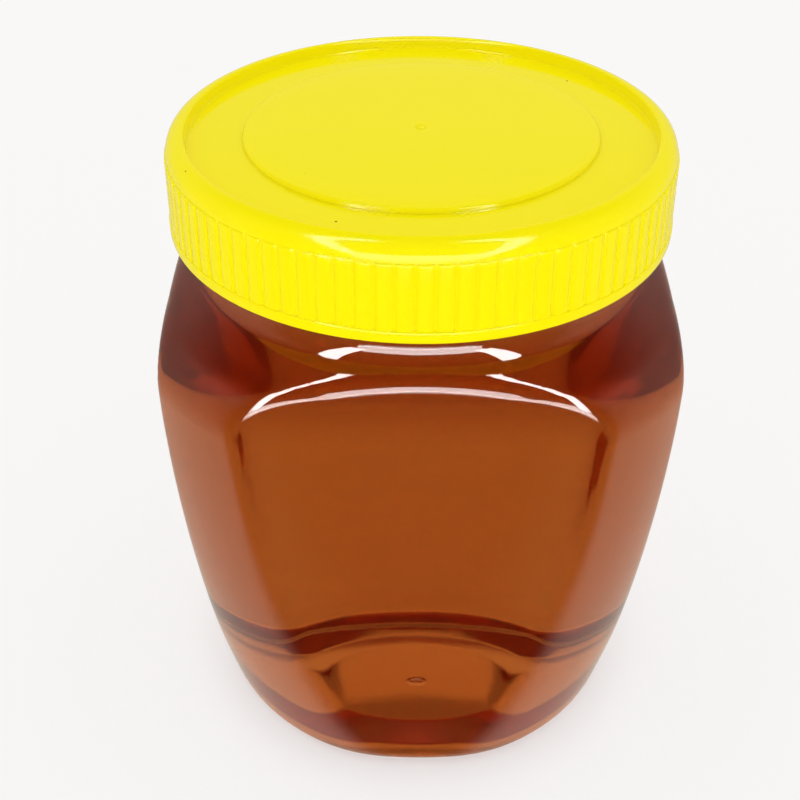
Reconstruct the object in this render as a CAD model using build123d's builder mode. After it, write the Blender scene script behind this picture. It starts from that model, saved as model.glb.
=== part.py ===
from build123d import *
import os
from math import asin, atan2, cos, degrees, radians, sin, sqrt

# A clear blow-moulded jar of honey with a moulded screw lid.
# Millimetres, +Z up, origin at the centre of the ring that the jar stands on.
# The front flat of the jar faces -Y.

# ---- driving dimensions ----
total_height = 120.0         # standing ring to the crest of the lid's rim

# jar body: a round barrel with four arched flats
corner_radius = 53.6         # largest radius of the barrel, at its four corners
barrel_bend = 382.0          # radius of the barrel arc, in section
ridge_lean = 1.485           # lean of the barrel's wall where the ridge begins, degrees
ridge_round = 10.3           # ridge between barrel and shoulder
shoulder_slope = 29.0        # fall of the shoulder below level, degrees
neck_round = 4.0             # hollow fillet between shoulder and neck
neck_show = 3.03             # plain neck from that fillet up to the lid
heel_round = 3.2             # rounding between barrel and base

flat_cut = 9.5               # barrel's largest radius less a flat's largest distance
flat_full_drop = 13.57       # centre of the ridge's rounding down to where a flat is fullest
flat_bend = 948.0            # radius of a flat's bow, in section
flat_edge_round = 2.6        # rounding where a flat meets the barrel and shoulder

# jar wall, neck and base
wall = 0.8                   # body wall
neck_radius = 39.8           # outside of the neck
neck_wall = 1.8
rim_round = 0.4              # edges of the mouth
base_wall = 1.0
ring_width = 9.0             # standing ring, from the heel's rounding inwards
base_disc_radius = 20.0      # raised disc in the middle of the base, inside a cone
push_up_height = 2.4         # rise of the cone, from the standing ring to the disc's edge
base_disc_rise = 0.4         # rise of the disc towards its middle
gate_radius = 1.5            # moulding nub in the middle of the base
gate_drop = 0.5

# honey
head_gap = 3.0               # from the honey up to the jar's rim

# lid
lid_height = 16.4            # lower edge to the crest of the rim
lid_edge_round = 2.8         # outside of the rim
lid_wall = 1.7               # skirt wall under the grooves
lid_plate = 1.3              # top plate
thread_room = 1.9            # from the neck out to the skirt's bore
skirt_flare = 0.3            # growth of the skirt's radius towards its lower edge
crest_width = 0.1            # level crest of the rim
rim_draft = 0.2              # lean of the rim's inner side
rim_depth = 2.1              # rim crest down to the recessed face
rim_foot_round = 0.25        # hollow at the foot of the rim's inner side
annulus_width = 9.8          # recessed face between the rim and the disc
disc_height = 0.9            # raised disc in the middle
disc_round = 0.7
dimple_radius = 0.8          # moulding mark in the middle of the disc
dimple_depth = 0.25
band_height = 2.0            # plain band below the grip pads
band_proud = 0.4             # band beyond the groove floor
pad_proud = 0.3              # grip pads beyond the groove floor
pad_drop = 3.1               # rim crest down to the tops of the pads
groove_count = 90            # grooves between the grip pads
groove_width = 0.6

# ---- heights, from the top down ----
recess_height = total_height - rim_depth
rim_height = recess_height - lid_plate
honey_level = rim_height - head_gap
lid_bottom = total_height - lid_height
neck_foot = lid_bottom - neck_show

# ---- the jar's section: centres of its arcs, as (radius, height) ----
lean = -radians(ridge_lean)
slope_angle = radians(90 - shoulder_slope)
slope_normal = Vector(cos(slope_angle), sin(slope_angle))
neck_centre = Vector(neck_radius + neck_round, neck_foot)
slope_offset = neck_centre.dot(slope_normal) - neck_round
ridge_reach = barrel_bend - ridge_round
ridge_x = corner_radius - barrel_bend + ridge_reach * cos(lean)
ridge_y = (slope_offset - ridge_round - ridge_x * slope_normal.X) / slope_normal.Y
ridge_centre = Vector(ridge_x, ridge_y)
barrel_centre = Vector(corner_radius - barrel_bend, ridge_y - ridge_reach * sin(lean))
flat_centre = Vector(corner_radius - flat_cut - flat_bend, ridge_y - flat_full_drop)
corner_plane = Plane((0, 0, 0), x_dir=(1, 1, 0), z_dir=(1, -1, 0))


def heel_place(height):
    """Centre of a heel rounding whose centre stands at a height, tangent to the barrel arc."""
    reach = barrel_bend - heel_round
    return Vector(barrel_centre.X + sqrt(reach**2 - (height - barrel_centre.Y) ** 2), height)


def blown_form(inset, neck_outer, floor_height, top_height):
    """The jar's form moved inwards by inset, closed at floor_height and top_height.

    The section is a chain of tangent arcs: heel, barrel, ridge, straight shoulder,
    hollow fillet and neck. It is turned about Z and cut to two crossed prisms,
    whose sides are the four bowed flats. The edges of the flats are rounded.
    """
    barrel = barrel_bend - inset
    ridge = ridge_round - inset
    slope_top = ridge_centre + slope_normal * ridge

    hollow = neck_round + inset
    hollow_x = neck_outer + hollow
    hollow_y = slope_top.Y + (hollow - (hollow_x - slope_top.X) * slope_normal.X) / slope_normal.Y
    hollow_centre = Vector(hollow_x, hollow_y)
    slope_foot = hollow_centre - slope_normal * hollow

    heel = heel_round - inset
    heel_centre = heel_place(floor_height + heel)
    heel_angle = atan2(heel_centre.Y - barrel_centre.Y, heel_centre.X - barrel_centre.X)

    flat = flat_bend - inset
    flat_low = asin((floor_height - heel - flat_centre.Y) / flat)
    flat_high = asin((top_height + heel - flat_centre.Y) / flat)

    with BuildPart() as form:
        with BuildSketch(corner_plane):
            with BuildLine():
                Line((0, floor_height), (heel_centre.X, floor_height))
                CenterArc(heel_centre, heel, -90, 90 + degrees(heel_angle))
                CenterArc(barrel_centre, barrel, degrees(heel_angle), degrees(lean - heel_angle))
                CenterArc(ridge_centre, ridge, degrees(lean), degrees(slope_angle - lean))
                Line(slope_top, slope_foot)
                CenterArc(hollow_centre, hollow, 180 + degrees(slope_angle), -degrees(slope_angle))
                Line((neck_outer, hollow_y), (neck_outer, top_height))
                Line((neck_outer, top_height), (0, top_height))
                Line((0, top_height), (0, floor_height))
            make_face()
        revolve(axis=Axis.Z)
        for plane in (Plane.XZ, Plane.YZ):
            with BuildSketch(plane):
                with BuildLine():
                    right = CenterArc(flat_centre, flat, degrees(flat_low), degrees(flat_high - flat_low))
                    left = mirror(right, about=Plane.YZ)
                    Line(right @ 0, left @ 0)
                    Line(right @ 1, left @ 1)
                make_face()
            extrude(amount=2 * corner_radius, both=True, mode=Mode.INTERSECT)
        flat_edges = [e for e in form.edges() if e.geom_type == GeomType.BSPLINE]
        fillet(flat_edges, flat_edge_round - inset)
    return form.part


def raised_base(edge_height):
    """Solid under the base: a shallow dome on a cone, which meets the standing ring at edge_height."""
    ring_inner_radius = heel_place(heel_round).X - ring_width
    disc_edge = edge_height + push_up_height
    middle = disc_edge + base_disc_rise
    bend = (base_disc_radius**2 + base_disc_rise**2) / (2 * base_disc_rise)
    half_angle = degrees(asin(base_disc_radius / bend))
    with BuildPart() as rise:
        with BuildSketch(corner_plane):
            with BuildLine():
                Polyline(
                    (0, middle),
                    (0, -base_wall),
                    (ring_inner_radius, -base_wall),
                    (ring_inner_radius, edge_height),
                    (base_disc_radius, disc_edge),
                )
                CenterArc((0, middle - bend), bend, 90 - half_angle, half_angle)
            make_face()
        revolve(axis=Axis.Z)
    return rise.part


outside = blown_form(0, neck_radius, 0, rim_height)
cavity = blown_form(wall, neck_radius - neck_wall, base_wall, rim_height)
base_rise = raised_base(base_wall)
push_up = raised_base(0)

# ---- jar: one blown shell with a raised base and a moulding nub under it ----
with BuildPart() as jar:
    add(outside)
    add(cavity, mode=Mode.SUBTRACT)
    mouth = jar.edges().filter_by(GeomType.CIRCLE).group_by(Axis.Z)[-1]
    fillet(mouth, rim_round)
    add(base_rise)
    add(push_up, mode=Mode.SUBTRACT)
    with BuildSketch(Plane.XY.offset(push_up_height + base_disc_rise - gate_drop)):
        Circle(gate_radius)
    extrude(amount=gate_drop + base_wall / 2)
jar.part.label = "jar"

# ---- honey: fills the shell up to its level ----
with BuildPart() as honey:
    add(cavity)
    split(bisect_by=Plane.XY.offset(honey_level), keep=Keep.BOTTOM)
    add(base_rise, mode=Mode.SUBTRACT)
honey.part.label = "honey"

# ---- lid: a cap with a raised rim, a raised disc and grip pads round its skirt ----
lid_radius = neck_radius + thread_room + lid_wall
rim_top_radius = lid_radius - lid_edge_round - crest_width
rim_foot_radius = rim_top_radius - rim_draft
disc_radius = rim_foot_radius - annulus_width
disc_top = recess_height + disc_height
edge_height = total_height - lid_edge_round
pad_top = total_height - pad_drop
band_top = lid_bottom + band_height
groove_middle = (pad_top + band_top) / 2
flare = skirt_flare / (edge_height - lid_bottom)


def floor_radius(height):
    """Radius of the skirt at a height, in the grooves."""
    return lid_radius + flare * (edge_height - height)


with BuildPart() as lid:
    with BuildSketch(Plane.XZ) as lid_section:
        with BuildLine():
            Polyline(
                (0, rim_height),
                (lid_radius - lid_wall, rim_height),
                (floor_radius(lid_bottom) - lid_wall, lid_bottom),
                (floor_radius(lid_bottom) + band_proud, lid_bottom),
                (floor_radius(lid_bottom) + band_proud, band_top),
                (floor_radius(band_top) + pad_proud, band_top),
                (floor_radius(pad_top) + pad_proud, pad_top),
                (floor_radius(pad_top), pad_top),
                (lid_radius, edge_height),
            )
            CenterArc((lid_radius - lid_edge_round, edge_height), lid_edge_round, 0, 90)
            Polyline(
                (lid_radius - lid_edge_round, total_height),
                (rim_top_radius, total_height),
                (rim_foot_radius, recess_height),
                (disc_radius, recess_height),
                (disc_radius, disc_top),
                (0, disc_top),
                (0, rim_height),
            )
        make_face()
        corners = lid_section.vertices()
        disc_edge = corners.sort_by_distance((disc_radius, disc_top))[0]
        rim_foot = corners.sort_by_distance((rim_foot_radius, recess_height))[0]
        fillet(disc_edge, disc_round)
        fillet(rim_foot, rim_foot_round)
    revolve(axis=Axis.Z)
    with PolarLocations(floor_radius(groove_middle), groove_count):
        with Locations((0, 0, groove_middle)):
            Box(
                2 * pad_proud,
                groove_width,
                pad_top - band_top,
                rotation=(0, -degrees(atan2(flare, 1)), 0),
                align=(Align.MIN, Align.CENTER, Align.CENTER),
                mode=Mode.SUBTRACT,
            )
    with BuildSketch(Plane.XY.offset(disc_top)):
        Circle(dimple_radius)
    extrude(amount=-dimple_depth, mode=Mode.SUBTRACT)
lid.part.label = "lid"

os.makedirs("parts", exist_ok=True)
for piece in (jar.part, honey.part, lid.part):
    export_step(piece, f"parts/{piece.label}.step")
    print(piece.label, round(piece.volume / 1000, 2), "ml", piece.bounding_box())
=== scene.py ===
"""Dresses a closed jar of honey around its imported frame: clear jar, honey, ribbed yellow lid."""

from math import atan2, cos, pi, radians, sin, sqrt

import bpy
import numpy as np
from bpy.props import FloatProperty, FloatVectorProperty, IntProperty, PointerProperty
from mathutils import Matrix, Vector


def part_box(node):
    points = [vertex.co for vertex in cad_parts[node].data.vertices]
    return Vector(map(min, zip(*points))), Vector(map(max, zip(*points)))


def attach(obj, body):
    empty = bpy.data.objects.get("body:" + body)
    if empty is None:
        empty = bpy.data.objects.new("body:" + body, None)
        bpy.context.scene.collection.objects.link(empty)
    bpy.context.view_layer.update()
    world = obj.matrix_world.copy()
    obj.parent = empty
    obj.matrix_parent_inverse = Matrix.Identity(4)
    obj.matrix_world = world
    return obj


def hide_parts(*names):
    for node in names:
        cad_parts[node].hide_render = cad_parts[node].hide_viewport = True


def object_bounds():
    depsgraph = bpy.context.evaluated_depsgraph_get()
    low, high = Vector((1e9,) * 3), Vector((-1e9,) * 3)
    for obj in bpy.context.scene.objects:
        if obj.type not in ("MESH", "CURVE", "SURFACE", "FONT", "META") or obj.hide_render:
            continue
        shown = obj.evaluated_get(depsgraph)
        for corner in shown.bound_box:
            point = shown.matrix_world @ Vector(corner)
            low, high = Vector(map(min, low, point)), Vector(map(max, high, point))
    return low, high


bl_info = {
    "name": "Honey Jar",
    "version": (1, 0, 0),
    "blender": (4, 5, 0),
    "location": "View3D > Sidebar > Honey Jar",
    "description": "Builds a clear jar of honey with a ribbed screw lid, and a plain studio",
    "category": "Object",
}

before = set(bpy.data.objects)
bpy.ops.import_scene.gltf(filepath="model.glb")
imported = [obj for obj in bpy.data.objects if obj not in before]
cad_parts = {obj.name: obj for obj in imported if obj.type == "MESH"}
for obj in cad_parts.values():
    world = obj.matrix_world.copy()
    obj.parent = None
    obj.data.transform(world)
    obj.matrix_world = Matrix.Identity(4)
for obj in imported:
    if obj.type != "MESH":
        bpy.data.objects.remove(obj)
CAD_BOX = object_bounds()
JAR_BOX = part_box("jar")
HONEY_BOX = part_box("honey")
LID_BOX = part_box("lid")
MM = 0.001
TURN = 2 * pi
WHITE = (1.0, 1.0, 1.0, 1.0)
WARM_WHITE = (1.0, 0.9, 0.78, 1.0)

DISC_ROWS = 8       # rows of the base, from its nub out to the edge of the raised disc
HEEL_ROWS = 8       # rows of the jar's outside round the heel
UNDERSIDE_ROWS = 5  # rings of faces under the lid's plate and in its bore


def length(name, description, millimetres):
    """A length property whose default is given in millimetres."""
    return FloatProperty(
        name=name, description=description, default=millimetres * MM, subtype="DISTANCE", unit="LENGTH"
    )


def angle(name, description, degrees):
    """An angle property whose default is given in degrees."""
    return FloatProperty(
        name=name, description=description, default=radians(degrees), subtype="ANGLE", unit="ROTATION"
    )


def number(name, description, value):
    """A plain number property."""
    return FloatProperty(name=name, description=description, default=value)


def colour(name, description, value):
    """A linear colour property."""
    return FloatVectorProperty(
        name=name, description=description, default=value, subtype="COLOR", size=3, min=0.0, max=1.0
    )


# ---- sizes and colours that a user may change ----


class JarForm(bpy.types.PropertyGroup):
    corner_radius: length("Corner radius", "Largest radius of the barrel, at its corners", 53.6)
    barrel_bend: length("Barrel bend", "Radius of the barrel's arc in section", 382.0)
    ridge_lean: angle("Ridge lean", "Lean of the barrel's wall where the ridge begins", 1.485)
    ridge_round: length("Ridge round", "Rounding between barrel and shoulder", 10.3)
    shoulder_slope: angle("Shoulder slope", "Fall of the shoulder below level", 29.0)
    neck_radius: length("Neck radius", "Outside of the neck", 39.8)
    neck_round: length("Neck round", "Hollow fillet between shoulder and neck", 4.0)
    neck_show: length("Neck show", "Plain neck from the hollow fillet up to the lid", 3.03)
    neck_wall: length("Neck wall", "Wall thickness of the neck", 1.8)
    heel_round: length("Heel round", "Rounding between barrel and base", 3.2)
    flat_cut: length("Flat cut", "Barrel's largest radius less a flat's largest distance", 9.5)
    flat_drop: length("Flat drop", "Centre of the ridge's rounding down to a flat's fullest height", 13.57)
    flat_bend: length("Flat bend", "Radius of a flat's bow in section", 948.0)
    edge_round: length("Edge round", "Rounding along the arched tops of the flats", 3.0)
    edge_soft: length("Edge soft", "Rounding along the upright edges of the flats", 18.0)
    edge_fade: length("Edge fade", "Height over which the one rounding grows into the other", 60.0)
    wall: length("Wall", "Wall thickness of the body", 0.8)
    base_wall: length("Base wall", "Thickness of the base", 1.0)
    ring_width: length("Ring width", "Standing ring, from the heel's rounding inwards", 9.0)
    ring_rise: length("Ring rise", "Rise of the standing ring from its inner edge out to the heel", 0.3)
    base_disc: length("Base disc", "Radius of the raised disc in the middle of the base", 20.0)
    push_up: length("Push up", "Rise from the standing ring to the edge of the raised disc", 2.4)
    disc_dome: length("Disc dome", "Rise of the raised disc towards its middle", 0.4)
    cone_rounding: number("Cone rounding", "Share of the base's cone that is rounded at each end", 0.12)
    gate_radius: length("Gate radius", "Moulding nub under the middle of the base", 1.5)
    gate_drop: length("Gate drop", "Height of the moulding nub", 0.5)
    film: number("Film", "Share of the light that honey on the inside of the shoulder scatters", 0.5)
    film_colour: colour("Film colour", "Colour of the light that the film scatters", (0.14, 0.006, 0.0005))
    film_steps: IntProperty(name="Film steps", description="Steps in which the film thickens", default=10)
    base_frost: number("Base frost", "Roughness of the base's ring and cone", 0.2)
    columns: IntProperty(name="Columns", description="Faces round the jar", default=360)


class HoneyForm(bpy.types.PropertyGroup):
    into_wall: length("Into wall", "How far the honey reaches into the jar's wall", 0.4)
    density: number("Density", "Density of the absorption, in each metre", 52.0)
    tint: colour("Tint", "Colour that the honey lets through", (0.815, 0.51, 0.11))
    clarity: number("Clarity", "Share of the light that passes the honey's surface unscattered", 0.93)
    haze: colour("Haze", "Colour of the light that the honey scatters back", (0.42, 0.05, 0.002))


class LidForm(bpy.types.PropertyGroup):
    plate: length("Plate", "Thickness of the top plate", 1.3)
    wall: length("Wall", "Thickness of the skirt under the grooves", 1.7)
    edge_round: length("Edge round", "Rounding outside the rim's crest", 2.8)
    crest_width: length("Crest width", "Level crest of the rim", 0.1)
    rim_draft: length("Rim draft", "Lean of the rim's inner side", 0.2)
    rim_depth: length("Rim depth", "Crest of the rim down to the recessed face", 2.1)
    foot_round: length("Foot round", "Hollow at the foot of the rim's inner side", 0.25)
    annulus: length("Annulus", "Recessed face between the rim and the disc", 9.8)
    disc_height: length("Disc height", "Rise of the disc in the middle", 0.9)
    disc_round: length("Disc round", "Rounding of the disc's edge", 0.7)
    mark_radius: length("Mark radius", "Moulding mark in the middle of the disc", 0.8)
    mark_depth: length("Mark depth", "Depth of the moulding mark", 0.25)
    band_height: length("Band height", "Plain band below the grip pads", 2.0)
    band_proud: length("Band proud", "Band beyond the floor of the grooves", 0.4)
    pad_proud: length("Pad proud", "Grip pads beyond the floor of the grooves", 0.3)
    pad_drop: length("Pad drop", "Crest of the rim down to the tops of the pads", 3.1)
    flare: length("Flare", "Growth of the skirt's radius towards its lower edge", 0.3)
    grooves: IntProperty(name="Grooves", description="Grooves between the grip pads", default=90)
    groove_width: length("Groove width", "Width of a groove at the pads' faces", 0.8)
    turn: angle("Turn", "How far the lid is screwed round", 0.65)
    paint: colour("Plastic colour", "Colour of the lid's plastic", (0.94, 0.82, 0.002))
    # Glow and glow colour set the painted glow on the lid's underside: emission standing in for light through
    # the plastic.
    glow: number("Glow", "How brightly light shows through the lid on its underside", 1.3)
    glow_colour: colour("Glow colour", "Colour of the light that shows through the lid", (1.0, 0.42, 0.01))
    dust: colour("Dust colour", "Colour of the specks on the lid", (0.10, 0.06, 0.01))


class Studio(bpy.types.PropertyGroup):
    floor_size: length("Floor size", "Side of the square floor", 4000.0)
    focal: FloatProperty(name="Lens", description="Focal length of the camera in millimetres", default=54.0)
    distance: length("Distance", "From the camera to the point it turns about", 239.52)
    aim_height: length("Aim height", "Height of the point that the camera turns about", 60.78)
    elevation: angle("Elevation", "How far the camera looks down", 36.441)
    side_step: angle("Side step", "How far the camera stands round to the left", 0.511)
    heading: angle("Heading", "How far the camera looks to the left", 0.582)
    roll: angle("Roll", "Roll of the camera", -0.066)


# ---- grids and meshes ----


def arc(centre, radius, start, stop, count):
    """Rows (x, y, a) on an arc: centre + radius * (cos a, sin a), with a evenly spaced from start to stop."""
    a = np.linspace(start, stop, count)
    return np.c_[centre[0] + radius * np.cos(a), centre[1] + radius * np.sin(a), a]


def line(first, last, normal, count):
    """Rows (x, y, a) on a straight line from first to last, whose normal points along the angle a."""
    t = np.linspace(0.0, 1.0, count)[:, None]
    points = np.asarray(first) * (1 - t) + np.asarray(last) * t
    return np.c_[points, np.full(count, normal)]


def chain(*stretches):
    """Joins stretches of a section into one, leaving out the first row of each after the first."""
    return np.vstack([stretches[0]] + [s[1:] for s in stretches[1:]])


def round_mesh(name, radius, height, angles, bottom, top):
    """Closed mesh over a grid of angle by row, with a pole below the first row and one above the last.

    A vertex stands at (radius * sin angle, -radius * cos angle, height), so angle 0 is the front.
    Rows run up the outside, so that faces point outwards.
    """
    columns, rows = radius.shape
    x = radius * np.sin(angles)[:, None]
    y = -radius * np.cos(angles)[:, None]
    z = np.broadcast_to(height, radius.shape)
    grid = np.stack([x, y, z], axis=-1).reshape(-1, 3)
    vertices = np.vstack([grid, [[0.0, 0.0, bottom], [0.0, 0.0, top]]])

    i = np.arange(columns)
    j = np.arange(rows - 1)
    here = i[:, None] * rows + j
    there = np.roll(i, -1)[:, None] * rows + j
    quads = np.stack([here, there, there + 1, here + 1], axis=-1).reshape(-1, 4)
    first = i * rows
    first_next = np.roll(i, -1) * rows
    low = np.stack([np.full(columns, columns * rows), first_next, first], axis=-1)
    high = np.stack([np.full(columns, columns * rows + 1), first + rows - 1, first_next + rows - 1], axis=-1)

    loops = np.concatenate([quads.ravel(), low.ravel(), high.ravel()])
    sizes = np.concatenate([np.full(len(quads), 4), np.full(2 * columns, 3)])
    mesh = bpy.data.meshes.new(name)
    mesh.vertices.add(len(vertices))
    mesh.vertices.foreach_set("co", vertices.ravel())
    mesh.loops.add(len(loops))
    mesh.loops.foreach_set("vertex_index", loops)
    mesh.polygons.add(len(sizes))
    mesh.polygons.foreach_set("loop_start", np.concatenate([[0], np.cumsum(sizes)[:-1]]))
    mesh.polygons.foreach_set("use_smooth", np.ones(len(sizes), bool))
    mesh.update(calc_edges=True)
    mesh.validate()
    piece = bpy.data.objects.new(name, mesh)
    bpy.context.scene.collection.objects.link(piece)
    return piece


def paint_rows(piece, slots, columns):
    """Gives each ring of faces between two rows its material slot; the poles take the first and last."""
    faces = np.concatenate([np.tile(slots, columns), np.repeat([slots[0], slots[-1]], columns)])
    piece.data.polygons.foreach_set("material_index", faces.astype(np.int32))
    piece.data.update()


# ---- the blown form, shared by the jar's outside, its inside and the honey ----


class Section:
    """Centres of the arcs of the jar's section, worked out from the neck down."""

    def __init__(self, form):
        self.form = form
        self.neck_foot = LID_BOX[0].z - form.neck_show
        self.lean = -form.ridge_lean
        self.slope = pi / 2 - form.shoulder_slope
        self.normal = np.array([cos(self.slope), sin(self.slope)])
        neck_centre = np.array([form.neck_radius + form.neck_round, self.neck_foot])
        offset = neck_centre @ self.normal - form.neck_round
        reach = form.barrel_bend - form.ridge_round
        ridge_x = form.corner_radius - form.barrel_bend + reach * cos(self.lean)
        ridge_y = (offset - form.ridge_round - ridge_x * self.normal[0]) / self.normal[1]
        self.ridge = np.array([ridge_x, ridge_y])
        self.barrel = np.array([form.corner_radius - form.barrel_bend, ridge_y - reach * sin(self.lean)])
        self.flat_height = ridge_y - form.flat_drop

    def heel(self, height):
        """Centre of a heel rounding that stands at a height, tangent to the barrel's arc."""
        reach = self.form.barrel_bend - self.form.heel_round
        return np.array([self.barrel[0] + sqrt(reach**2 - (height - self.barrel[1]) ** 2), height])

    def rows(self, inset, neck_outer, floor, top, fineness=1.0):
        """Rows (radius, height, lean) up the section moved inwards by inset: heel, barrel, ridge,
        straight shoulder, hollow fillet and neck, as arcs tangent to each other."""
        form = self.form
        n = [max(3, round(fineness * k)) for k in (HEEL_ROWS, 64, 22, 8, 12, 5)]
        heel_round = form.heel_round - inset
        heel_centre = self.heel(floor + heel_round)
        heel_lean = atan2(heel_centre[1] - self.barrel[1], heel_centre[0] - self.barrel[0])
        ridge_round = form.ridge_round - inset
        slope_top = self.ridge + self.normal * ridge_round
        hollow = form.neck_round + inset
        hollow_x = neck_outer + hollow
        rise = (hollow - (hollow_x - slope_top[0]) * self.normal[0]) / self.normal[1]
        hollow_centre = np.array([hollow_x, slope_top[1] + rise])
        slope_foot = hollow_centre - self.normal * hollow
        fillet = arc(hollow_centre, -hollow, self.slope, 0.0, n[4])
        return chain(
            arc(heel_centre, heel_round, -pi / 2, heel_lean, n[0]),
            arc(self.barrel, form.barrel_bend - inset, heel_lean, self.lean, n[1]),
            arc(self.ridge, ridge_round, self.lean, self.slope, n[2]),
            line(slope_top, slope_foot, self.slope, n[3]),
            fillet,
            line((neck_outer, hollow_centre[1]), (neck_outer, top), 0.0, n[5]),
        )

    def skin(self, rows, angles, inset):
        """Radius at each angle and row: the turned section cut by four bowed flats, its edges rounded.

        In the direction of an angle, the turned section is the line a1 * r = b1 and the flat is the
        line a2 * r = b2. They meet in a corner, which is rounded by the smooth minimum: where the two
        distances differ by less than k, r solves (k - |D|)^2 = 4 k * distance, a quadratic in r.
        k grows with the turn between the two surfaces, so that the rounding keeps one radius.
        """
        form = self.form
        radius, height, lean = rows.T
        fade = np.clip((self.ridge[1] - height) / form.edge_fade, 0.0, 1.0)
        edge_round = form.edge_round + (form.edge_soft - form.edge_round) * fade * fade * (3 - 2 * fade)
        bow = form.flat_bend - np.sqrt(form.flat_bend**2 - (height - self.flat_height) ** 2)
        distance = form.corner_radius - form.flat_cut - inset - bow
        off_flat = (angles + pi / 4) % (pi / 2) - pi / 4
        a1 = np.broadcast_to(np.cos(lean), (len(angles), len(rows)))
        b1 = radius * np.cos(lean)
        a2 = np.cos(off_flat)[:, None]
        b2 = distance
        plain = np.minimum(radius, b2 / a2)
        turn = np.sqrt(np.clip((1 + a1 * a2) / 2, 0.0, 1.0))
        k = np.maximum(4 * (edge_round - inset) * (1 - turn), 1e-7)
        a = (a1 - a2) ** 2
        b = 2 * k * (a1 + a2) - 2 * (a1 - a2) * (b1 - b2)
        c = k**2 + (b1 - b2) ** 2 - 2 * k * (b1 + b2)
        root = np.sqrt(np.maximum(b * b - 4 * a * c, 0.0))
        rounded = np.where(a > 1e-9, (root - b) / (2 * np.maximum(a, 1e-12)), -c / b)
        apart = np.abs((a1 - a2) * rounded - (b1 - b2))
        near = (apart < k) & (rounded > 0) & (rounded <= plain) & (a1 > 1e-3)
        return np.where(near, rounded, plain)

    def base(self, floor, gate_drop, count):
        """Rows (radius, height) from the middle of the base out to the heel: nub, disc, cone and ring.

        The cone climbs from the ring in to the raised disc. Over a share q at each of its ends its slope
        grows evenly from nothing, so the height is t^2 / (2 q (1 - q)) there, and a straight line between.
        The disc is a shallow dome, whose height falls with the square of the radius.
        """
        form = self.form
        heel = self.heel(form.heel_round + form.ring_rise)[0]
        ring_inner = heel - form.ring_width
        cone = np.linspace(form.base_disc, ring_inner, count)
        r = np.array([0.5, 0.8, 0.95, 1.0, 1.05, 1.6, 3.0, 6.0]) * form.gate_radius
        r = np.concatenate([r, cone, np.linspace(ring_inner, heel, 7)[1:-1]])
        t = np.clip((ring_inner - r) / (ring_inner - form.base_disc), 0.0, 1.0)
        q = form.cone_rounding
        low = np.minimum(t, q) ** 2 / (2 * q * (1 - q))
        high = np.clip(t - (1 - q), 0.0, q) ** 2 / (2 * q * (1 - q))
        z = floor + form.push_up * (low + np.clip(t - q, 0.0, None) / (1 - q) - high)
        z = z + form.disc_dome * np.clip(1 - (r / form.base_disc) ** 2, 0.0, 1.0)
        z = z + form.ring_rise * np.clip((r - ring_inner) / form.ring_width, 0.0, 1.0)
        nub = np.clip((1.05 - r / form.gate_radius) / 0.1, 0.0, 1.0)
        z = z - gate_drop * nub * nub * (3 - 2 * nub)
        return np.c_[r, z]


def even_angles(columns):
    """Angles round the axis, evenly spaced."""
    return np.arange(columns) * TURN / columns


def all_round(rows, angles):
    """The radius of each row, the same at every angle."""
    return np.broadcast_to(rows[:, 0], (len(angles), len(rows)))


# ---- materials ----


def new_material(name):
    """An empty material with a Principled shader and its output; returns (material, nodes, links, shader)."""
    material = bpy.data.materials.new(name)
    material.use_nodes = True
    nodes = material.node_tree.nodes
    nodes.clear()
    shader = nodes.new("ShaderNodeBsdfPrincipled")
    output = nodes.new("ShaderNodeOutputMaterial")
    material.node_tree.links.new(shader.outputs["BSDF"], output.inputs["Surface"])
    return material, nodes, material.node_tree.links, shader


def surface_output(nodes):
    """The output node of a material."""
    return next(node for node in nodes if node.type == "OUTPUT_MATERIAL")


def maths(nodes, links, operation, *values):
    """The result of a Math node on the outputs of other nodes."""
    node = nodes.new("ShaderNodeMath")
    node.operation = operation
    for value, socket in zip(values, node.inputs):
        links.new(value, socket)
    return node.outputs["Value"]


def ramp(nodes, links, value, start, stop, low, high):
    """A smooth climb from low to high as a value goes from start to stop."""
    node = nodes.new("ShaderNodeMapRange")
    node.interpolation_type = "SMOOTHSTEP"
    for name, amount in (("From Min", start), ("From Max", stop), ("To Min", low), ("To Max", high)):
        node.inputs[name].default_value = amount
    links.new(value, node.inputs["Value"])
    return node.outputs["Result"]


def empty_group(name, numbers, output):
    """A node group with numbers to set and one output; returns (group, nodes, links, enter, leave)."""
    group = bpy.data.node_groups.new(name, "ShaderNodeTree")
    for title, default in numbers:
        socket = group.interface.new_socket(title, in_out="INPUT", socket_type="NodeSocketFloat")
        socket.default_value = default
    group.interface.new_socket(output, in_out="OUTPUT", socket_type="NodeSocketFloat")
    nodes = group.nodes
    return group, nodes, group.links, nodes.new("NodeGroupInput"), nodes.new("NodeGroupOutput")


def place_group(nodes, group, numbers):
    """Places a shared group in a material, with this material's own numbers."""
    node = nodes.new("ShaderNodeGroup")
    node.node_tree = group
    for name, value in numbers:
        node.inputs[name].default_value = value
    return node


def relief_group():
    """Node group that puts out the height of a fine uneven surface: two sizes of noise, added."""
    if "uneven_surface" in bpy.data.node_groups:
        return bpy.data.node_groups["uneven_surface"]
    numbers = (("Coarse Scale", 40.0), ("Fine Scale", 900.0), ("Fine Share", 0.3))
    group, nodes, links, enter, leave = empty_group("uneven_surface", numbers, "Height")
    place = nodes.new("ShaderNodeTexCoord")
    coarse = nodes.new("ShaderNodeTexNoise")
    fine = nodes.new("ShaderNodeTexNoise")
    for noise, detail, scale in ((coarse, 1.0, "Coarse Scale"), (fine, 2.0, "Fine Scale")):
        noise.inputs["Detail"].default_value = detail
        links.new(place.outputs["Object"], noise.inputs["Vector"])
        links.new(enter.outputs[scale], noise.inputs["Scale"])
    height = maths(nodes, links, "MULTIPLY_ADD",
                   fine.outputs["Fac"], enter.outputs["Fine Share"], coarse.outputs["Fac"])
    links.new(height, leave.inputs["Height"])
    return group


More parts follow.
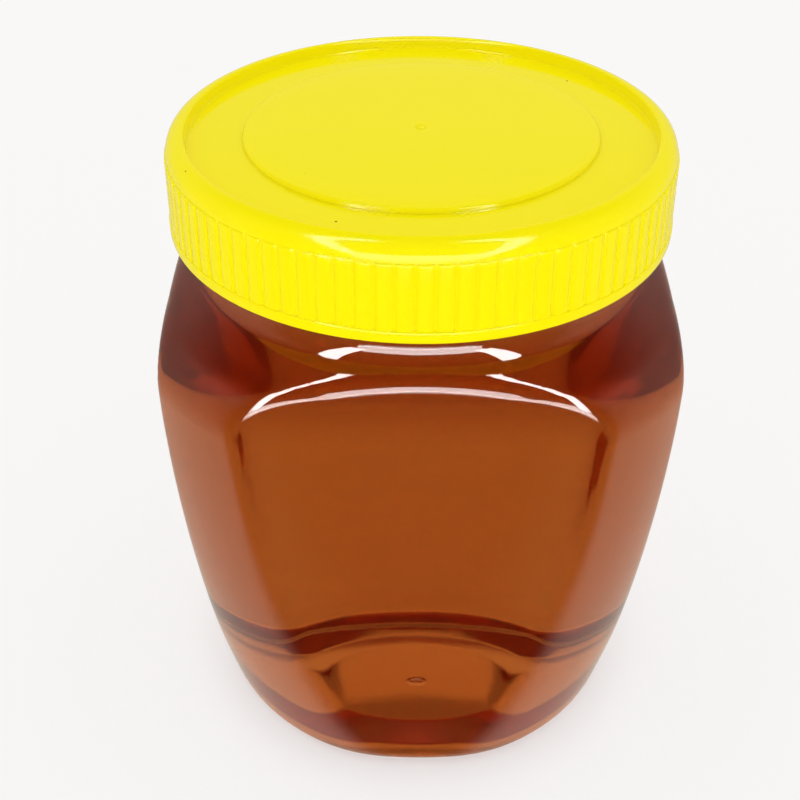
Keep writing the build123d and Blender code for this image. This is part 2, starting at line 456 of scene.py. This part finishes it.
def add_relief(nodes, links, shader, coarse, fine, share, strength, distance):
    """Feeds a material's Normal from the shared uneven surface, through a Bump node."""
    numbers = (("Coarse Scale", coarse), ("Fine Scale", fine), ("Fine Share", share))
    relief = place_group(nodes, relief_group(), numbers)
    bump = nodes.new("ShaderNodeBump")
    bump.inputs["Strength"].default_value = strength
    bump.inputs["Distance"].default_value = distance
    links.new(relief.outputs["Height"], bump.inputs["Height"])
    links.new(bump.outputs["Normal"], shader.inputs["Normal"])


def specks_group():
    """Node group that puts out a mask of small round specks, in a share of a pattern's cells."""
    if "fine_specks" in bpy.data.node_groups:
        return bpy.data.node_groups["fine_specks"]
    numbers = (("Scale", 200.0), ("Size", 0.05), ("Share", 0.1))
    group, nodes, links, enter, leave = empty_group("fine_specks", numbers, "Mask")
    place = nodes.new("ShaderNodeTexCoord")
    cells = nodes.new("ShaderNodeTexVoronoi")
    links.new(place.outputs["Object"], cells.inputs["Vector"])
    links.new(enter.outputs["Scale"], cells.inputs["Scale"])
    split = nodes.new("ShaderNodeSeparateColor")
    links.new(cells.outputs["Color"], split.inputs["Color"])
    small = maths(nodes, links, "LESS_THAN", cells.outputs["Distance"], enter.outputs["Size"])
    chosen = maths(nodes, links, "LESS_THAN", split.outputs["Red"], enter.outputs["Share"])
    links.new(maths(nodes, links, "MULTIPLY", small, chosen), leave.inputs["Mask"])
    return group


def add_specks(nodes, links, shader, scale, size, share, base, speck):
    """Feeds a material's Base Color with specks of one colour on another, from the shared group."""
    specks = place_group(nodes, specks_group(), (("Scale", scale), ("Size", size), ("Share", share)))
    mix = nodes.new("ShaderNodeMix")
    mix.data_type = "RGBA"
    factor, first, second = mix.inputs[0], mix.inputs[6], mix.inputs[7]
    first.default_value = (*base, 1.0)
    second.default_value = (*speck, 1.0)
    links.new(specks.outputs["Mask"], factor)
    links.new(mix.outputs[2], shader.inputs["Base Color"])


def clear_plastic(roughness=0.0):
    """Clear plastic, with the gentle ripple of a blown wall and a few specks."""
    material, nodes, links, shader = new_material("clear_plastic")
    shader.inputs["Roughness"].default_value = roughness
    shader.inputs["IOR"].default_value = 1.49
    shader.inputs["Transmission Weight"].default_value = 1.0
    add_specks(nodes, links, shader, scale=110.0, size=0.022, share=0.6,
               base=(1.0, 1.0, 1.0), speck=(0.45, 0.3, 0.2))
    add_relief(nodes, links, shader, coarse=70.0, fine=420.0, share=0.12, strength=0.06, distance=0.6 * MM)
    return material


def hazy(nodes, links, clear, haze, clarity):
    """Mixes a little matt haze into a clear shader, and feeds the mix to the material's output."""
    matt = nodes.new("ShaderNodeBsdfDiffuse")
    matt.inputs["Color"].default_value = (*haze, 1.0)
    both = nodes.new("ShaderNodeMixShader")
    both.inputs["Fac"].default_value = clarity
    links.new(matt.outputs["BSDF"], both.inputs[1])
    links.new(clear.outputs["BSDF"], both.inputs[2])
    links.new(both.outputs["Shader"], surface_output(nodes).inputs["Surface"])


def wetted_plastic(haze, clarity):
    """The inside of the wall where honey wets it: nothing bends or mirrors there, and a film of honey
    may cling to it."""
    material, nodes, links, shader = new_material("wetted_plastic")
    shader.inputs["Base Color"].default_value = WHITE
    shader.inputs["Roughness"].default_value = 0.0
    shader.inputs["IOR"].default_value = 1.0
    shader.inputs["Transmission Weight"].default_value = 1.0
    if clarity < 1.0:
        hazy(nodes, links, shader, haze, clarity)
    return material


def honey_material(look):
    """Amber liquid: a little haze at its surface, and a tint that deepens with the way through it."""
    material, nodes, links, clear = new_material("honey")
    clear.inputs["Base Color"].default_value = WHITE
    clear.inputs["Roughness"].default_value = 0.0
    clear.inputs["IOR"].default_value = 1.0
    clear.inputs["Transmission Weight"].default_value = 1.0
    hazy(nodes, links, clear, look.haze, look.clarity)
    depth = nodes.new("ShaderNodeVolumeAbsorption")
    depth.inputs["Color"].default_value = (*look.tint, 1.0)
    depth.inputs["Density"].default_value = look.density
    links.new(depth.outputs["Volume"], surface_output(nodes).inputs["Volume"])
    return material


def lid_material(form):
    """Moulded satin plastic with a few specks of dust."""
    material, nodes, links, shader = new_material("lid_plastic")
    shader.inputs["Roughness"].default_value = 0.1
    shader.inputs["IOR"].default_value = 1.5
    shader.inputs["Specular IOR Level"].default_value = 0.12
    add_specks(nodes, links, shader, scale=150.0, size=0.03, share=0.5, base=form.paint, speck=form.dust)
    add_relief(nodes, links, shader, coarse=60.0, fine=1500.0, share=0.25, strength=0.15, distance=0.4 * MM)
    return material


def lid_underside_painted_glow(form):
    """The lid's plastic from below, with a painted glow: emission that stands in for the light that shows
    through the thin plastic.
    """
    material, nodes, links, shader = new_material("lid_underside_painted_glow")
    shader.inputs["Base Color"].default_value = (*form.paint, 1.0)
    shader.inputs["Roughness"].default_value = 0.4
    shader.inputs["Emission Color"].default_value = (*form.glow_colour, 1.0)
    shader.inputs["Emission Strength"].default_value = form.glow
    return material


# ---- one operator for each piece ----


class HONEYJAR_OT_jar(bpy.types.Operator):
    """Build the clear blown jar, outside and inside, as one closed shell"""

    bl_idname = "honeyjar.jar"
    bl_label = "Clear jar"

    def execute(self, context):
        form = context.scene.honey_jar
        section = Section(form)
        angles = even_angles(form.columns)
        floor, rim = JAR_BOX[0].z, JAR_BOX[1].z

        foot = form.ring_rise
        outer = section.rows(0.0, form.neck_radius, floor + foot, rim)
        under = section.base(floor, form.gate_drop, 24)
        neck_inner = form.neck_radius - form.neck_wall
        inner = section.rows(form.wall, neck_inner, form.base_wall + foot, rim, 0.6)
        above = section.base(form.base_wall, 0.0, 12)

        radius = np.hstack([
            all_round(under, angles),
            section.skin(outer, angles, 0.0),
            section.skin(inner, angles, form.wall)[:, ::-1],
            all_round(above, angles)[:, ::-1],
        ])
        height = np.concatenate([under[:, 1], outer[:, 1], inner[::-1, 1], above[::-1, 1]])
        middle = form.push_up + form.disc_dome
        bottom = floor + middle - form.gate_drop
        piece = round_mesh("clear_jar", radius, height, angles, bottom, form.base_wall + middle)
        piece.data.materials.append(clear_plastic())
        for step in range(form.film_steps + 1):
            clarity = 1 - form.film * step / form.film_steps
            piece.data.materials.append(wetted_plastic(form.film_colour, clarity))
        piece.data.materials.append(clear_plastic(form.base_frost))
        share = np.maximum.accumulate(np.clip(inner[:, 2] / section.slope, 0.0, 1.0))
        film = 1 + np.round(share * form.film_steps)
        outside = np.zeros(len(under) + len(outer))
        outside[DISC_ROWS:len(under) + HEEL_ROWS - 1] = form.film_steps + 2
        slots = np.concatenate([outside, film[:0:-1], np.ones(len(above))])
        paint_rows(piece, slots, form.columns)
        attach(piece, "root")
        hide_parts("jar")
        return {"FINISHED"}


class HONEYJAR_OT_honey(bpy.types.Operator):
    """Build the honey, which reaches just into the jar's wall"""

    bl_idname = "honeyjar.honey"
    bl_label = "Honey"

    def execute(self, context):
        form = context.scene.honey_jar
        look = context.scene.honey_fill
        section = Section(form)
        angles = even_angles(form.columns)
        inset = form.wall - look.into_wall
        floor = form.base_wall - look.into_wall
        level = HONEY_BOX[1].z
        neck_outer = form.neck_radius - form.neck_wall + look.into_wall
        side = section.rows(inset, neck_outer, floor + form.ring_rise, level)
        under = section.base(floor, 0.0, 16)
        radius = np.hstack([
            all_round(under, angles),
            section.skin(side, angles, inset),
        ])
        height = np.concatenate([under[:, 1], side[:, 1]])
        piece = round_mesh("honey_fill", radius, height, angles, floor + form.push_up + form.disc_dome, level)
        piece.data.materials.append(honey_material(look))
        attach(piece, "root")
        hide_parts("honey")
        return {"FINISHED"}


class HONEYJAR_OT_lid(bpy.types.Operator):
    """Build the ribbed screw lid"""

    bl_idname = "honeyjar.lid"
    bl_label = "Screw lid"

    def execute(self, context):
        form = context.scene.honey_lid
        rows, relief = lid_rows(form, context.scene.honey_jar)
        angles, pads = groove_angles(form)
        radius = rows[:, 0] + pads[:, None] * relief
        piece = round_mesh("screw_lid", radius, rows[:, 1], angles, rows[0, 1], rows[-1, 1])
        piece.data.materials.append(lid_material(form))
        piece.data.materials.append(lid_underside_painted_glow(form))
        slots = np.zeros(len(rows) - 1)
        # The rings under the plate and in the bore take the underside's painted glow.
        slots[:UNDERSIDE_ROWS] = 1
        paint_rows(piece, slots, len(angles))
        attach(piece, "root")
        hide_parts("lid")
        return {"FINISHED"}


def groove_angles(form):
    """Angles round the lid with a few columns across each groove, and how far each column is a pad.

    The share is 0 on a groove's floor and 1 on a pad, and climbs by 3 t^2 - 2 t^3 up a groove's side.
    """
    pitch = TURN / form.grooves
    half = form.groove_width / 2 / LID_BOX[1].x
    across = np.array([-1.0, -0.7, -0.4, 0.0, 0.4, 0.7, 1.0]) * half
    local = np.concatenate([[-pitch / 2, -pitch / 3.4], across, [pitch / 3.4]])
    middles = form.turn + pitch / 2 + np.arange(form.grooves) * pitch
    angles = (middles[:, None] + local).ravel()
    climb = np.clip((np.abs(local) / half - 0.35) / 0.65, 0.0, 1.0)
    pads = np.tile(climb * climb * (3 - 2 * climb), form.grooves)
    return angles, pads


def lid_rows(form, jar):
    """Rows (radius, height) of the lid's section, from under its plate round the outside to the middle
    of its top, and how far the pads stand proud at each row."""
    top, bottom = LID_BOX[1].z, LID_BOX[0].z
    band_radius = LID_BOX[1].x
    edge = top - form.edge_round
    slope = form.flare / (edge - bottom)
    radius = band_radius - form.band_proud - form.flare
    recess = top - form.rim_depth
    plate_under = recess - form.plate
    crest = radius - form.edge_round - form.crest_width
    foot = crest - form.rim_draft
    disc = foot - form.annulus
    disc_top = recess + form.disc_height
    pad_top = top - form.pad_drop
    band_top = bottom + form.band_height

    def floor_radius(height):
        return radius + slope * (edge - height)

    inside = line((0.3 * radius, plate_under), (radius - form.wall, plate_under), 0.0, 3)
    bore = line((radius - form.wall, plate_under), (floor_radius(bottom) - form.wall, bottom), 0.0, 4)
    lip = 0.25 * MM
    band = chain(
        line((floor_radius(bottom) - form.wall, bottom), (band_radius - lip, bottom), 0.0, 3),
        arc((band_radius - lip, bottom + lip), lip, -pi / 2, 0.0, 5),
        line((band_radius, bottom + lip), (band_radius, band_top - lip), 0.0, 4),
        arc((band_radius - lip, band_top - lip), lip, 0.0, pi / 2, 5),
    )
    skirt_heights = np.concatenate([
        band_top + np.array([0.05, 0.15, 0.3, 0.5]) * MM,
        np.linspace(band_top + 0.9 * MM, pad_top - 0.9 * MM, 8),
        pad_top - np.array([0.5, 0.34, 0.24, 0.16, 0.1, 0.05, 0.0]) * MM,
    ])
    skirt = np.c_[floor_radius(skirt_heights), skirt_heights, np.zeros(len(skirt_heights))]
    fall = np.clip((pad_top - skirt_heights) / (0.35 * MM), 0.0, 1.0)
    proud = form.pad_proud * np.sqrt(1 - (1 - fall) ** 2)
    shoulder = chain(
        line((floor_radius(pad_top), pad_top), (radius, edge), 0.0, 3),
        arc((radius - form.edge_round, edge), form.edge_round, 0.0, pi / 2, 12),
        line((radius - form.edge_round, top), (crest, top), 0.0, 2),
    )
    step = 0.35 * MM
    rim = chain(
        arc((crest, top - step), step, pi / 2, pi, 6),
        line((crest - step, top - step), (foot - step, recess + form.foot_round), 0.0, 4),
        arc((foot - step - form.foot_round, recess + form.foot_round), form.foot_round, 0.0, -pi / 2, 5),
        line((foot - step - form.foot_round, recess), (disc + form.foot_round, recess), 0.0, 8),
    )
    curl = arc((disc + form.foot_round, recess + form.foot_round), form.foot_round, -pi / 2, -pi, 4)
    top_edge = arc((disc - form.disc_round, disc_top - form.disc_round), form.disc_round, 0.0, pi / 2, 8)
    face = line((disc - form.disc_round, disc_top), (2.0 * form.mark_radius, disc_top), 0.0, 8)
    mark_r = np.array([1.5, 1.25, 1.1, 1.0, 0.9, 0.8, 0.6, 0.3]) * form.mark_radius
    ring = np.exp(-(((mark_r / form.mark_radius - 1.0) / 0.16) ** 2))
    mark = np.c_[mark_r, disc_top - form.mark_depth * ring, np.zeros(len(mark_r))]
    rows = np.vstack([inside, bore[1:], band[1:], skirt, shoulder[1:], rim[1:], curl[1:],
                      top_edge, face[1:], mark])
    relief = np.zeros(len(rows))
    start = len(inside) + len(bore) - 1 + len(band) - 1
    relief[start:start + len(skirt)] = proud
    return rows[:, :2], relief


class HONEYJAR_OT_studio(bpy.types.Operator):
    """Lay the floor and set the lamps, the world and the camera"""

    bl_idname = "honeyjar.studio"
    bl_label = "Studio"

    def execute(self, context):
        studio = context.scene.honey_studio
        floor = flat_sheet("studio_floor", studio.floor_size)
        floor.data.materials.append(floor_material())
        floor.visible_glossy = False
        set_world()
        set_lamps()
        set_camera(studio)
        context.scene.view_settings.view_transform = "Standard"
        context.scene.cycles.max_bounces = 32
        context.scene.cycles.transmission_bounces = 32
        context.scene.cycles.glossy_bounces = 16
        return {"FINISHED"}


def flat_sheet(name, side):
    """A square sheet in the plane that the jar stands on."""
    half = side / 2
    mesh = bpy.data.meshes.new(name)
    level = CAD_BOX[0].z
    corners = [(-half, -half, level), (half, -half, level), (half, half, level), (-half, half, level)]
    mesh.from_pydata(corners, [], [(0, 1, 2, 3)])
    sheet = bpy.data.objects.new(name, mesh)
    bpy.context.scene.collection.objects.link(sheet)
    return sheet


def floor_material():
    """White paper. What is seen of it, straight or through the jar, is lifted towards white by emission, less
    so under the jar, where the smaller lift is a painted shadow, and it keeps the jar's real shadow."""
    material, nodes, links, shader = new_material("studio_paper")
    shader.inputs["Base Color"].default_value = (0.93, 0.93, 0.935, 1.0)
    shader.inputs["Roughness"].default_value = 0.9
    shader.inputs["Specular IOR Level"].default_value = 0.0
    glow = nodes.new("ShaderNodeEmission")
    glow.inputs["Color"].default_value = (0.95, 0.94, 0.93, 1.0)
    glow.inputs["Strength"].default_value = 1.0
    path = nodes.new("ShaderNodeLightPath")
    place = nodes.new("ShaderNodeTexCoord")
    reach = nodes.new("ShaderNodeVectorMath")
    reach.operation = "LENGTH"
    links.new(place.outputs["Object"], reach.inputs[0])
    seen = maths(nodes, links, "MAXIMUM", path.outputs["Is Camera Ray"], path.outputs["Is Transmission Ray"])
    # Painted shadow: the emission lift falls from 0.8 to 0.25 close under the jar.
    lift = ramp(nodes, links, reach.outputs["Value"], 0.03, 0.055, 0.25, 0.8)
    both = nodes.new("ShaderNodeMixShader")
    links.new(maths(nodes, links, "MULTIPLY", seen, lift), both.inputs["Fac"])
    links.new(shader.outputs["BSDF"], both.inputs[1])
    links.new(glow.outputs["Emission"], both.inputs[2])
    links.new(both.outputs["Shader"], surface_output(nodes).inputs["Surface"])
    return material


def set_world():
    """White where it is seen directly, and an even white light on everything matt.

    Mirrored rays find a warm white room behind the jar that dims upwards and towards the camera. Bent
    rays find a white backdrop up to a height, dimmer above it, and a bright room on the camera's side.
    """
    world = bpy.data.worlds.new("studio_room")
    bpy.context.scene.world = world
    world.use_nodes = True
    nodes, links = world.node_tree.nodes, world.node_tree.links
    nodes.clear()
    output = nodes.new("ShaderNodeOutputWorld")
    path = nodes.new("ShaderNodeLightPath")
    place = nodes.new("ShaderNodeTexCoord")
    split = nodes.new("ShaderNodeSeparateXYZ")
    links.new(place.outputs["Generated"], split.inputs["Vector"])
    back, up = split.outputs["Y"], split.outputs["Z"]
    mirrored = maths(nodes, links, "MULTIPLY",
                     ramp(nodes, links, back, -0.5, -0.1, 0.03, 0.65),
                     ramp(nodes, links, up, 0.45, 0.8, 1.0, 0.05))
    bent = maths(nodes, links, "MAXIMUM",
                 ramp(nodes, links, up, 0.79, 0.83, 1.22, 0.58),
                 ramp(nodes, links, back, -0.4, 0.0, 2.1, 0.0))

    def background(colour_, strength=None):
        node = nodes.new("ShaderNodeBackground")
        node.inputs["Color"].default_value = colour_
        node.inputs["Strength"].default_value = 1.0
        if strength is not None:
            links.new(strength, node.inputs["Strength"])
        return node.outputs["Background"]

    seen = background(WHITE)
    for kind, light in (
        ("Is Glossy Ray", background(WARM_WHITE, mirrored)),
        ("Is Transmission Ray", background(WHITE, bent)),
        ("Is Camera Ray", background(WHITE)),
    ):
        mix = nodes.new("ShaderNodeMixShader")
        links.new(path.outputs[kind], mix.inputs["Fac"])
        links.new(seen, mix.inputs[1])
        links.new(light, mix.inputs[2])
        seen = mix.outputs["Shader"]
    links.new(seen, output.inputs["Surface"])


def towards(azimuth, elevation, distance):
    """The point at a distance from the jar's middle; azimuth 0 is behind the jar, 90 to its right."""
    middle = Vector((0.0, 0.0, CAD_BOX[1].z / 2))
    flat = cos(radians(elevation)) * distance
    return middle + Vector((
        flat * sin(radians(azimuth)), flat * cos(radians(azimuth)), sin(radians(elevation)) * distance
    ))


def strip(name, first, last, width, brightness, lights=False):
    """A long lamp between two points, which faces the jar's middle. One that lights nothing is only
    mirrored in glossy surfaces."""
    first, last = Vector(first), Vector(last)
    middle = (first + last) / 2
    data = bpy.data.lights.new(name, "AREA")
    data.shape = "RECTANGLE"
    data.size, data.size_y = (last - first).length, width
    data.energy = brightness * pi * data.size * width
    lamp = bpy.data.objects.new(name, data)
    along = (last - first).normalized()
    away = middle - Vector((0.0, 0.0, CAD_BOX[1].z / 2))
    away = (away - away.dot(along) * along).normalized()
    basis = Matrix((along, away.cross(along), away)).transposed().to_4x4()
    lamp.matrix_world = Matrix.Translation(middle) @ basis
    lamp.visible_camera = False
    lamp.visible_transmission = False
    lamp.visible_diffuse = lights
    bpy.context.scene.collection.objects.link(lamp)


def set_lamps():
    """Strips that stand left and right in front of the jar and lean on over it, a panel between them
    below the camera, and a card that lies on the table."""
    for side, name in ((-1, "left"), (1, "right")):
        knee = towards(side * 122, 56, 0.9)
        strip(name + "_upright", towards(side * 152, 4, 0.9), knee, width=0.11, brightness=24.0)
        strip(name + "_leaning", knee, towards(side * 88, 80, 0.9), width=0.08, brightness=24.0)
    strip("front_panel", towards(-152, 0, 0.9), towards(152, 0, 0.9), width=0.4, brightness=13.0)
    strip("front_card", (-0.15, -0.33, 0.002), (0.15, -0.33, 0.002), width=0.06, brightness=6.0, lights=True)


def set_camera(studio):
    """The camera stands off the jar's front, looks down, and turns slightly to the left."""
    data = bpy.data.cameras.new("camera")
    data.lens = studio.focal
    data.clip_start = 0.01
    camera = bpy.data.objects.new("camera", data)
    reach = studio.distance * cos(studio.elevation)
    camera.location = (
        -reach * sin(studio.side_step),
        -reach * cos(studio.side_step),
        studio.aim_height + studio.distance * sin(studio.elevation),
    )
    turn = Matrix.Rotation(studio.heading, 4, "Z")
    tilt = Matrix.Rotation(pi / 2 - studio.elevation, 4, "X")
    roll = Matrix.Rotation(studio.roll, 4, "Z")
    camera.rotation_euler = (turn @ tilt @ roll).to_euler()
    bpy.context.scene.collection.objects.link(camera)
    bpy.context.scene.camera = camera


class HONEYJAR_PT_panel(bpy.types.Panel):
    bl_idname = "HONEYJAR_PT_panel"
    bl_label = "Honey Jar"
    bl_space_type = "VIEW_3D"
    bl_region_type = "UI"
    bl_category = "Honey Jar"

    def draw(self, context):
        for operator in OPERATORS:
            self.layout.operator(operator.bl_idname)
        for group in (context.scene.honey_jar, context.scene.honey_fill,
                      context.scene.honey_lid, context.scene.honey_studio):
            box = self.layout.box()
            for name in group.__annotations__:
                box.prop(group, name)


GROUPS = {
    "honey_jar": JarForm,
    "honey_fill": HoneyForm,
    "honey_lid": LidForm,
    "honey_studio": Studio,
}
OPERATORS = (HONEYJAR_OT_jar, HONEYJAR_OT_honey, HONEYJAR_OT_lid, HONEYJAR_OT_studio)


def register():
    for cls in (*GROUPS.values(), *OPERATORS, HONEYJAR_PT_panel):
        bpy.utils.register_class(cls)
    for name, group in GROUPS.items():
        setattr(bpy.types.Scene, name, PointerProperty(type=group))


def unregister():
    for name in GROUPS:
        delattr(bpy.types.Scene, name)
    for cls in (HONEYJAR_PT_panel, *reversed(OPERATORS), *reversed(GROUPS.values())):
        bpy.utils.unregister_class(cls)


def main():
    register()
    bpy.ops.honeyjar.jar()
    bpy.ops.honeyjar.honey()
    bpy.ops.honeyjar.lid()
    bpy.ops.honeyjar.studio()


if __name__ == "__main__":
    main()
